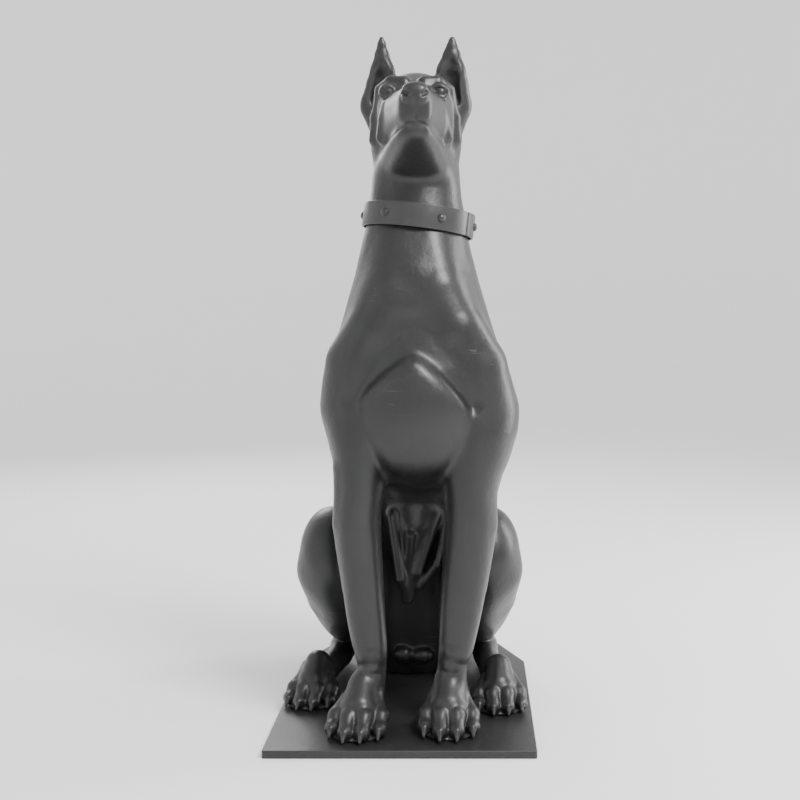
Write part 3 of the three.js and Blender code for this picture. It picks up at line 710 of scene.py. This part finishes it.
def geometry_tree(name, inputs):
    """A Geometry Nodes group with named number inputs; returns its builder and the inputs' sockets."""
    tree = bpy.data.node_groups.new(name, "GeometryNodeTree")
    tree.interface.new_socket("Geometry", in_out="OUTPUT", socket_type="NodeSocketGeometry")
    for key, kind in inputs.items():
        tree.interface.new_socket(key, in_out="INPUT", socket_type="NodeSocket" + kind)
    entry = tree.nodes.new("NodeGroupInput")
    return Nodes(tree), entry.outputs


def finish_tree(g, geometry, material):
    real = g("GeometryNodeRealizeInstances", Geometry=geometry)
    shown = g("GeometryNodeSetMaterial", Geometry=real, Material=material)
    g.put(shown, g.tree.nodes.new("NodeGroupOutput").inputs[0])
    return g.tree


def grown(name, tree, values, material):
    """A piece made by a Geometry Nodes group and turned into a plain mesh."""
    piece = new_piece(name, [], [], smooth=False)
    piece.data.materials.append(material)
    grow = piece.modifiers.new(name, "NODES")
    grow.node_group = tree
    for item in tree.interface.items_tree:
        if item.in_out == "INPUT" and item.name in values:
            grow[item.identifier] = values[item.name]
    baked(piece)
    print(name, len(piece.data.polygons), "faces")
    return piece


# %% [markdown]
# The ring is drawn level round the origin. A point at angle a, counted from the front towards the dog's
# left, is at (r sin a, -r cos a). The section is a flat bar with rounded edges.

# %% Strip swept round the neck
def collar_tree(material):
    g, size = geometry_tree("collar_strip", {
        "Radius": "Float", "Squash": "Float", "Wall": "Float", "Height": "Float",
        "Lap from": "Float", "Lap to": "Float", "Lap extra": "Float"})
    steps = 240
    index = g("GeometryNodeInputIndex")
    a = g.math("MULTIPLY", index, 2 * math.pi / steps)
    up = g("ShaderNodeMapRange", {"interpolation_type": "SMOOTHSTEP"}, Value=a, From_Min=size["Lap from"],
           From_Max=g.math("ADD", size["Lap from"], 0.035))
    down = g("ShaderNodeMapRange", {"interpolation_type": "SMOOTHSTEP"}, Value=a, From_Min=size["Lap to"],
             From_Max=g.math("ADD", size["Lap to"], 0.3))
    lap = g.math("MULTIPLY", g.math("SUBTRACT", up, down), size["Lap extra"])
    r = g.math("ADD", g.math("SUBTRACT", size["Radius"], g.math("MULTIPLY", size["Wall"], 0.5)), lap)
    x = g.math("MULTIPLY", r, g.math("SINE", a))
    y = g.math("MULTIPLY", g.math("MULTIPLY", r, g.math("COSINE", a)), g.math("MULTIPLY", size["Squash"], -1))
    circle = g("GeometryNodeCurvePrimitiveCircle", Resolution=steps)
    path = g("GeometryNodeSetPosition", Geometry=circle, Position=g("ShaderNodeCombineXYZ", X=x, Y=y))
    bar = g("GeometryNodeCurvePrimitiveQuadrilateral", Width=size["Wall"], Height=size["Height"])
    rounded = g("GeometryNodeFilletCurve", {"mode": "POLY"}, Curve=bar, Radius=0.0009, Count=3)
    strip = g("GeometryNodeCurveToMesh", Curve=path, Profile_Curve=rounded)
    smooth = g("GeometryNodeSetShadeSmooth", Geometry=strip)
    return finish_tree(g, smooth, material)
# %% [markdown]
# ## Black paint over cast iron
# Shaders are arithmetic, so they are written here as arithmetic. One small class wraps a socket and lets
# Python's own signs add the maths nodes.

# %% Shader arithmetic
class Value:
    def __init__(self, g, socket):
        self.g, self.socket = g, socket

    def math(self, kind, a, b):
        a, b = [v.socket if isinstance(v, Value) else v for v in (a, b)]
        return Value(self.g, self.g.math(kind, a, b))

    def __add__(self, other):
        return self.math("ADD", self, other)

    def __sub__(self, other):
        return self.math("SUBTRACT", self, other)

    def __rsub__(self, other):
        return self.math("SUBTRACT", other, self)

    def __mul__(self, other):
        return self.math("MULTIPLY", self, other)

    def __pow__(self, other):
        return self.math("POWER", self, other)

    __radd__, __rmul__ = __add__, __mul__

    def over(self, low, high):
        """0 below low, 1 above high, smooth between."""
        return Value(self.g, self.g("ShaderNodeMapRange", {"interpolation_type": "SMOOTHSTEP"},
                                    Value=self.socket, From_Min=low, From_Max=high))


class Paint(Nodes):
    """A material's nodes, with the patterns that this statue's paint needs."""

    def __init__(self, name, rough, coat=0.0, specular=0.42):
        self.material = bpy.data.materials.new(name)
        self.material.use_nodes = True
        super().__init__(self.material.node_tree)
        self.shader = self.tree.nodes["Principled BSDF"]
        self.shader.inputs["Coat Roughness"].default_value = 0.22
        self.shader.inputs["Coat Weight"].default_value = coat
        self.shader.inputs["Roughness"].default_value = rough
        self.shader.inputs["Specular IOR Level"].default_value = specular
        self.place = self("ShaderNodeTexCoord", out=3)

    def squeezed(self, x, y, z):
        return self("ShaderNodeMapping", Vector=self.place, Scale=(x, y, z))

    def noise(self, scale, detail=3.0, rough=0.55, vector=None, warp=0.0):
        return Value(self, self("ShaderNodeTexNoise", Vector=vector or self.place, Scale=scale, Detail=detail,
                                Roughness=rough, Distortion=warp))

    def cells(self, scale, feature="F1", vector=None, random=1.0):
        return Value(self, self("ShaderNodeTexVoronoi", {"feature": feature}, Vector=vector or self.place,
                                Scale=scale, Randomness=random))

    def read(self, name):
        return Value(self, self("ShaderNodeAttribute", {"attribute_name": name}, out=2))

    def mixed(self, share, a, b):
        a, b = [v if isinstance(v, bpy.types.NodeSocket) else (*v, 1.0) for v in (a, b)]
        return self("ShaderNodeMix", {"data_type": "RGBA"}, out=2, i0=share.socket, i6=a, i7=b)

    def bump(self, height, distance, strength=1.0, under=None):
        sockets = {"Normal": under} if under else {}
        return self("ShaderNodeBump", Height=height.socket, Distance=distance, Strength=strength, **sockets)

    def feed(self, name, value):
        self.put(value.socket if isinstance(value, Value) else value, self.shader.inputs[name])


print("shader arithmetic ready")

# %% [markdown]
# The paint is a satin black over a skin of cast iron. Sand casting leaves a fine grain and shallow
# dimples that show only where light rakes over them. The paint is brushed, so it is a little glossier
# in some places than in others, it is rubbed on proud edges, and grey dust lies in the creases. A few
# blow holes, no bigger than a pin's head, are left open.

# %% Satin black on the castings
def iron_paint(name, worn, base=(0.0115, 0.0115, 0.012), rough=0.40, streaks=0.0, dimples=1.0):
    p = Paint(name, rough, coat=0.12)
    grain, dimple, broad = p.noise(950, 2), p.noise(90, 3, 0.6), p.noise(14, 3, 0.5)
    pits = 1 - p.cells(70).over(0.035, 0.085)
    few = p.noise(9, 2).over(0.56, 0.66)
    scratch = p.noise(130, 2, 0.6, p.squeezed(0.12, 0.4, 1.6), warp=0.6)
    fine = scratch.over(0.63, 0.68)
    colour = p.mixed(broad.over(0.3, 0.75), base, [c * 1.35 for c in base])
    matt = rough + 0.10 * (broad - 0.5) + 0.10 * (dimple - 0.5)
    if worn:
        proud, deep = p.read("proud"), p.read("deep")
        rub = proud.over(0.12, 0.5) * (0.35 + 0.65 * dimple.over(0.4, 0.62))
        dust = deep.over(0.25, 0.8) * (0.4 + 0.6 * p.noise(40, 3).over(0.35, 0.7))
        colour = p.mixed(0.55 * rub, colour, (0.045, 0.044, 0.043))
        colour = p.mixed(0.30 * dust, colour, (0.024, 0.023, 0.022))
        matt = matt - 0.08 * rub + 0.22 * dust
    colour = p.mixed(0.5 * fine * few, colour, (0.055, 0.055, 0.055))
    p.feed("Base Color", colour)
    p.feed("Roughness", matt + 0.05 * (grain - 0.5))
    relief = 0.55 * dimples * dimple + 0.10 * grain + 0.35 * broad - 0.8 * (pits * few) - 0.12 * (fine * few)
    if streaks:
        relief = relief + streaks * p.noise(60, 2, 0.5, p.squeezed(1, 0.08, 1))
    p.feed("Normal", p.bump(relief, 0.0016, 0.75))
    print(name, len(p.tree.nodes), "nodes")
    return p.material


dog_paint = iron_paint("satin black, dog casting", worn=True)
statue.data.materials.clear()
statue.data.materials.append(dog_paint)
plate_paint = iron_paint("satin black, plate", worn=False, base=(0.014, 0.014, 0.0145), rough=0.46, dimples=0.7)
strip_paint = iron_paint("satin black, collar strip", worn=False, base=(0.026, 0.026, 0.0265), rough=0.38, dimples=0.35)
rivet_paint = iron_paint("satin black, rivets", worn=False, base=(0.022, 0.022, 0.0225), rough=0.34, dimples=0.3)
# %% [markdown]
# Once the strip is a plain mesh it is leaned over and lifted to the neck by moving its points, because a
# finished piece keeps its own centre at the origin.

# %% Collar in place
from mathutils import Matrix

to_neck = (Matrix.Translation(COLLAR) @ Matrix.Rotation(LEAN[0], 4, "Y") @ Matrix.Rotation(LEAN[1], 4, "X"))


def outward(mesh):
    shape = bmesh.new()
    shape.from_mesh(mesh)
    bmesh.ops.remove_doubles(shape, verts=shape.verts, dist=1e-6)
    bmesh.ops.recalc_face_normals(shape, faces=shape.faces)
    shape.to_mesh(mesh)
    shape.free()


collar = grown("collar_strip", collar_tree(strip_paint), {
    "Radius": RADIUS, "Squash": SQUASH, "Wall": WALL, "Height": HEIGHT,
    "Lap from": LAP_FROM, "Lap to": LAP_TO, "Lap extra": LAP_EXTRA}, strip_paint)
collar.data.transform(to_neck)
outward(collar.data)
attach(collar, "root")
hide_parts("collar_band")
print("collar from", [round(min(v.co[i] for v in collar.data.vertices), 4) for i in range(3)])

# %% [markdown]
# ## Rivets
# Six domed rivets are spaced evenly round the strip. Geometry Nodes squashes a ball into a domed head
# and then puts a copy at each place, turned to point outwards.

# %% Rivets round the strip
def rivet_tree(material):
    g, size = geometry_tree("rivets", {
        "Count": "Int", "First": "Float", "Path radius": "Float", "Squash": "Float", "Head radius": "Float",
        "Head height": "Float", "Lap from": "Float", "Lap to": "Float", "Lap extra": "Float"})
    places = g("GeometryNodePoints", Count=size["Count"])
    index = g("GeometryNodeInputIndex")
    a = g.math("ADD", size["First"], g.math("MULTIPLY", index, g.math("DIVIDE", 2 * math.pi, size["Count"])))
    on_lap = g.math("MULTIPLY", g.math("GREATER_THAN", a, size["Lap from"]), g.math("LESS_THAN", a, size["Lap to"]))
    r = g.math("ADD", size["Path radius"], g.math("MULTIPLY", on_lap, size["Lap extra"]))
    out = g("ShaderNodeCombineXYZ", X=g.math("SINE", a), Y=g.math("MULTIPLY", g.math("COSINE", a), -1))
    where = g("ShaderNodeVectorMath", {"operation": "MULTIPLY"},
              i0=out, i1=g("ShaderNodeCombineXYZ", X=r, Y=g.math("MULTIPLY", r, size["Squash"])))
    places = g("GeometryNodeSetPosition", Geometry=places, Position=where)
    ball_head = g("GeometryNodeMeshUVSphere", Segments=28, Rings=18, Radius=1.0)
    head = g("GeometryNodeTransform", Geometry=ball_head,
             Scale=g("ShaderNodeCombineXYZ", X=size["Head radius"], Y=size["Head radius"], Z=size["Head height"]))
    face_out = g("FunctionNodeAlignRotationToVector", {"axis": "Z"}, Vector=out)
    heads = g("GeometryNodeInstanceOnPoints", Points=places, Instance=head, Rotation=face_out)
    return finish_tree(g, g("GeometryNodeSetShadeSmooth", Geometry=heads), material)


rivets = grown("collar_rivets", rivet_tree(rivet_paint), {
    "Count": 6, "First": math.radians(26), "Path radius": RADIUS + 0.0003, "Squash": SQUASH,
    "Head radius": 0.006, "Head height": 0.0042, "Lap from": LAP_FROM, "Lap to": LAP_TO,
    "Lap extra": LAP_EXTRA}, rivet_paint)
rivets.data.transform(to_neck)
outward(rivets.data)
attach(rivets, "root")
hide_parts(*[f"collar_stud_{n}" for n in range(1, 7)])

# %% [markdown]
# ## Base plate
# The plate's solid already has the right outline and its small chamfer, so it stays and takes the paint.

# %% Paint on the plate
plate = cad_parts["base_plate"]
if plate.material_slots:
    for place in plate.material_slots:
        place.link = "OBJECT"
        place.material = plate_paint
else:
    plate.data.materials.append(plate_paint)

# %% [markdown]
# ## Floor, light and camera
# A pale floor that curves up to a wall all round, as a studio's does, so no edge shows behind the
# statue, and large soft lamps. The main light stands high on the right of the
# picture, so the dog's own right side falls into shade, and two narrow lamps behind draw its edges.

# %% Stage
PROFILE = [(0.02, 0), (1.5, 0), (3.2, 0), (3.8, 0.06), (4.3, 0.25), (4.7, 0.6), (4.9, 1.1), (5, 1.8), (5, 3.6)]
AROUND = 96
rim = [(r * math.cos(2 * math.pi * i / AROUND), r * math.sin(2 * math.pi * i / AROUND), z)
       for r, z in PROFILE for i in range(AROUND)]
bands = [(k * AROUND + i, k * AROUND + (i + 1) % AROUND, (k + 1) * AROUND + (i + 1) % AROUND, (k + 1) * AROUND + i)
         for k in range(len(PROFILE) - 1) for i in range(AROUND)]
floor = new_piece("floor", rim, [tuple(reversed(range(AROUND)))[::-1]] + [b[::-1] for b in bands])
floor_paint = Paint("pale floor", 0.95, specular=0.1)
floor_paint.shader.inputs["Base Color"].default_value = (0.93, 0.93, 0.93, 1)
floor.data.materials.append(floor_paint.material)

world = bpy.data.worlds.new("studio")
bpy.context.scene.world = world
world.use_nodes = True
sky = world.node_tree.nodes["Background"]
sky.inputs["Color"].default_value = (1, 1, 1, 1)
sky.inputs["Strength"].default_value = 1.0


def lamp(name, place, target, width, height, power):
    light = bpy.data.lights.new(name, "AREA")
    light.shape, light.size, light.size_y, light.energy = "RECTANGLE", width, height, power
    holder = bpy.data.objects.new(name, light)
    bpy.context.scene.collection.objects.link(holder)
    holder.location = place
    holder.rotation_euler = (Vector(target) - Vector(place)).to_track_quat("-Z", "Y").to_euler()


lamp("main lamp", (1.3, -1.5, 2.5), (0, 0, 0.45), 0.9, 0.9, 105)
lamp("right edge lamp", (1.9, 0.7, 1.0), (0, 0, 0.5), 0.6, 1.6, 34)
lamp("left fill lamp", (-1.9, -1.2, 1.2), (0, 0, 0.5), 0.9, 1.4, 3)
lamp("back lamp", (-0.9, 2.2, 1.7), (0, 0, 0.5), 1.2, 1.2, 30)
print("four lamps")

# %% Camera
view = bpy.data.cameras.new("camera")
view.sensor_width, view.lens, view.shift_x = 36, 54, -0.0876
camera = bpy.data.objects.new("camera", view)
bpy.context.scene.collection.objects.link(camera)
camera.location = (0.09594, -1.8456, 0.6255)
camera.rotation_euler = (math.radians(90 - 4.94), 0, 0)
bpy.context.scene.camera = camera
print("camera at", tuple(round(v, 3) for v in camera.location))

# %% [markdown]
# ## The end of the build
# The scene is brought up to date, and the time that the whole build took is printed.

# %% Last update
bpy.context.view_layer.update()
print("built in", round(time.time() - began), "s")
